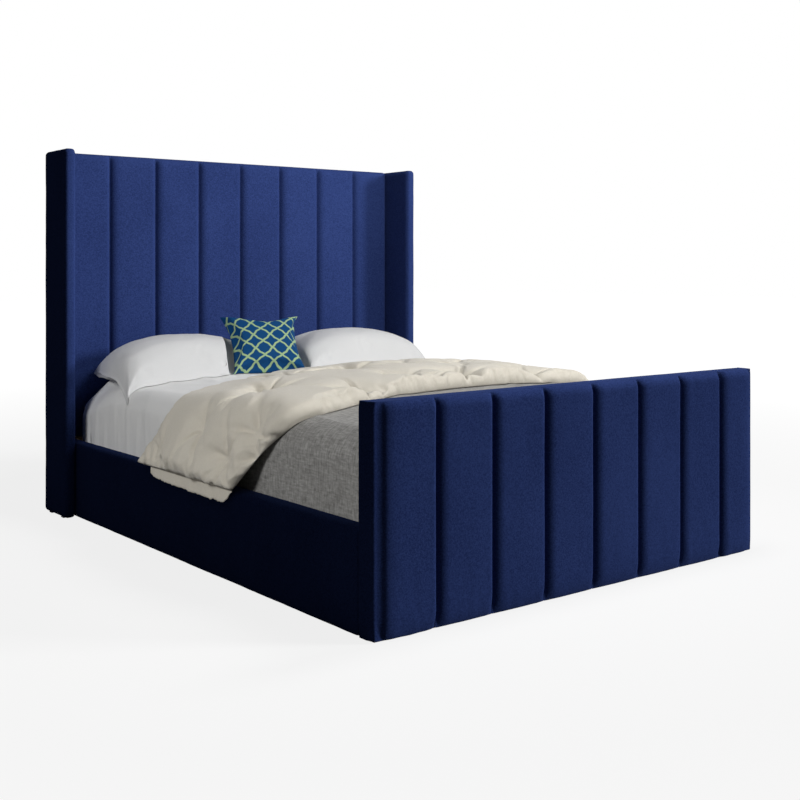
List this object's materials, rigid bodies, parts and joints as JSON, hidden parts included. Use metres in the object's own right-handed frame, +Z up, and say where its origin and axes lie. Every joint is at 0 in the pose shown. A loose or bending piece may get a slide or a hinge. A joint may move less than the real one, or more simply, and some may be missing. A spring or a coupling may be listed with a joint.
{
  "type": "upholstered bed",
  "caption": "Winged velvet bed with channelled headboard and footboard, padded side rails, slatted base, mattress, folded comforter, pillows and a cushion.",
  "frame": {"origin": "on the floor, under the middle of the bed's outer box", "axes": "+Z up; +Y from the foot of the bed to its head, so that the footboard faces -Y; +X to the right of someone looking from the foot towards the head"},
  "size_m": [1.728, 2.154, 1.437],
  "materials": {
    "navy_velvet": "short-pile velvet",
    "black_lining": "plain non-woven lining",
    "pine": "planed, unfinished",
    "panel_board": "raw plywood",
    "slat_birch": "smooth laminated birch",
    "black_steel": "black powder coat",
    "zinc_steel": "zinc plated",
    "black_plastic": "matt",
    "glide_felt": "pressed felt",
    "mattress_ticking": "woven ticking",
    "sheet_cotton": "plain cotton",
    "grey_cotton": "plain cotton",
    "comforter_linen": "washed linen",
    "pillow_cotton": "plain cotton",
    "cushion_print": "printed cotton"
  },
  "bodies": {
    "bed_frame": {"beam_hangers": "black_steel", "centre_beam": "pine", "centre_legs": "pine", "corner_brackets": "black_steel", "floor_glides": "glide_felt", "footboard_back_pad": "navy_velvet", "footboard_channel_1": "navy_velvet", "footboard_channel_2": "navy_velvet", "footboard_channel_3": "navy_velvet", "footboard_channel_4": "navy_velvet", "footboard_channel_5": "navy_velvet", "footboard_channel_6": "navy_velvet", "footboard_channel_7": "navy_velvet", "footboard_channel_8": "navy_velvet", "footboard_end_roll_left": "navy_velvet", "footboard_end_roll_right": "navy_velvet", "footboard_face_board": "panel_board", "footboard_lower_rail": "pine", "footboard_stile_left": "pine", "footboard_stile_right": "pine", "footboard_top_border": "navy_velvet", "footboard_top_rail": "pine", "frame_bolts": "zinc_steel", "headboard_back_lining": "black_lining", "headboard_channel_1": "navy_velvet", "headboard_channel_2": "navy_velvet", "headboard_channel_3": "navy_velvet", "headboard_channel_4": "navy_velvet", "headboard_channel_5": "navy_velvet", "headboard_channel_6": "navy_velvet", "headboard_channel_7": "navy_velvet", "headboard_channel_8": "navy_velvet", "headboard_face_board": "panel_board", "headboard_lower_rail": "pine", "headboard_middle_rail": "pine", "headboard_stile_left": "pine", "headboard_stile_right": "pine", "headboard_top_border": "navy_velvet", "headboard_top_rail": "pine", "side_rail_left_board": "pine", "side_rail_left_pad": "navy_velvet", "side_rail_right_board": "pine", "side_rail_right_pad": "navy_velvet", "slat_batten_left": "pine", "slat_batten_right": "pine", "slat_centre_holders": "black_plastic", "slat_side_holders": "black_plastic", "slats_left": "slat_birch", "slats_right": "slat_birch", "wing_left_board": "panel_board", "wing_left_pad": "navy_velvet", "wing_right_board": "panel_board", "wing_right_pad": "navy_velvet"},
    "mattress": {"mattress": "mattress_ticking", "fitted_sheet": "sheet_cotton", "foot_cover": "grey_cotton"},
    "comforter": {"comforter": "comforter_linen"},
    "pillows": {"pillow_left": "pillow_cotton", "pillow_right": "pillow_cotton"},
    "cushion": {"cushion": "cushion_print"}
  },
  "joints": [
    {"name": "mattress_lift", "type": "slide", "parent": "bed_frame", "child": "mattress", "axis": [0, 0, 1], "range_m": [0, 0.4]},
    {"name": "comforter_lift", "type": "slide", "parent": "mattress", "child": "comforter", "axis": [0, 0, 1], "range_m": [0, 0.3]},
    {"name": "pillows_lift", "type": "slide", "parent": "mattress", "child": "pillows", "axis": [0, 0, 1], "range_m": [0, 0.3]},
    {"name": "cushion_lift", "type": "slide", "parent": "pillows", "child": "cushion", "axis": [0, 0, 1], "range_m": [0, 0.3]}
  ]
}
